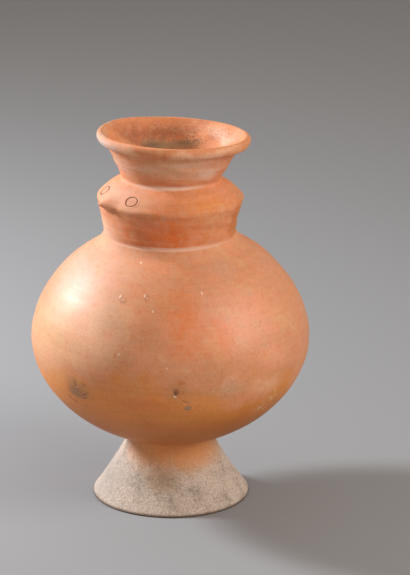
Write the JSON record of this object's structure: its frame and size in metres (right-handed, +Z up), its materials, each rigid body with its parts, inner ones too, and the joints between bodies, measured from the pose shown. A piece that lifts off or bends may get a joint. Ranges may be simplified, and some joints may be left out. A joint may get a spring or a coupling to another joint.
{
  "type": "footed globular vase",
  "caption": "Globular earthenware vase on a hollow trumpet foot, with a ridged collar bearing a small bird's face and a flared neck with a rolled rim.",
  "frame": {"origin": "centre of the foot's base, on the surface that the vase stands on", "axes": "+Z up along the vase's axis, the bird's face looks along -Y, +X to the right for someone who looks at the face"},
  "size_m": [0.2678, 0.2678, 0.364],
  "materials": {
    "burnished_clay": "burnished slip, soft sheen",
    "collar_clay": "wiped slip, matt",
    "bare_clay": "unslipped, grainy, matt"
  },
  "bodies": {
    "root": {"pedestal_foot": "bare_clay", "foot_luting_coil": "bare_clay", "base_bowl": "burnished_clay", "shoulder_dome": "burnished_clay", "collar_luting_coil": "collar_clay", "collar_wall": "collar_clay", "collar_top": "collar_clay", "beak": "collar_clay", "neck_luting_coil": "collar_clay", "neck_funnel": "collar_clay", "rim_coil": "collar_clay"}
  },
  "joints": []
}
